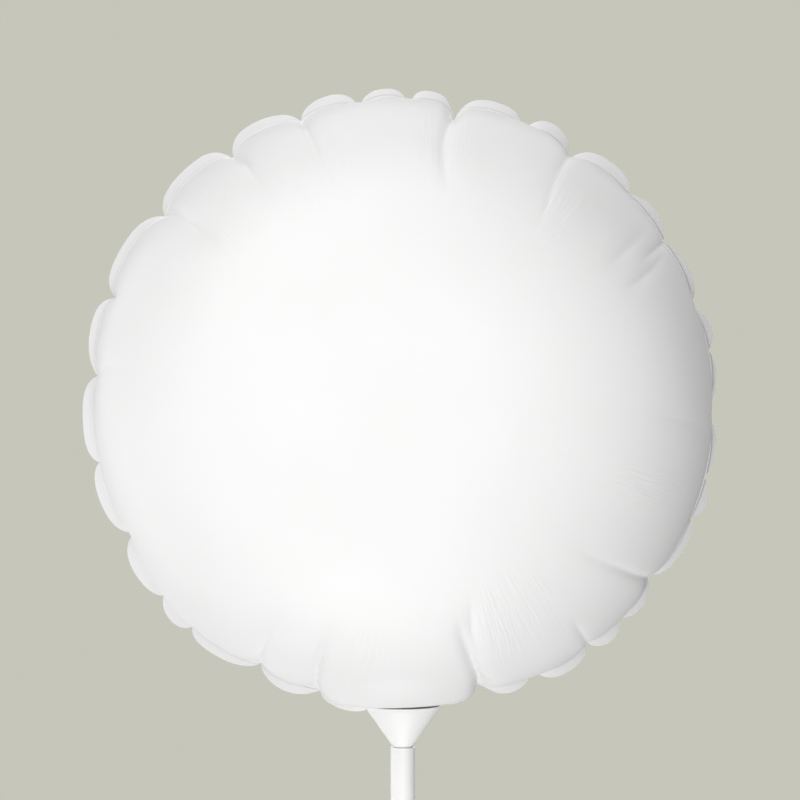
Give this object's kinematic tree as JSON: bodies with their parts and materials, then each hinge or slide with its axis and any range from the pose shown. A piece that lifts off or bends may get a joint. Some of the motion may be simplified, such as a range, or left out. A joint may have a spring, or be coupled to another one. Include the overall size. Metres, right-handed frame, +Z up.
{
  "type": "round white foil balloon on a stick, small air-filled size",
  "caption": "Round white film balloon with a scalloped welded rim, held in a funnel cup on a hollow stick.",
  "frame": {"origin": "centre of the hollow stick's lower end, where a hand or a holder has it", "axes": "+Z up the stick, -Y out of the balloon's front, +X to the right of that front"},
  "size_m": [0.1569, 0.0914, 0.4614],
  "materials": {
    "white_film": "satin",
    "cup_plastic": "satin",
    "stick_plastic": "satin"
  },
  "bodies": {
    "stick": {"stick": "stick_plastic"},
    "head": {"cup": "cup_plastic", "front_film": "white_film", "back_film": "white_film", "filling_tail": "white_film"}
  },
  "joints": [
    {"name": "cup_pull", "type": "slide", "parent": "stick", "child": "head", "axis": [0, 0, 1], "range_m": [0, 0.012]}
  ]
}
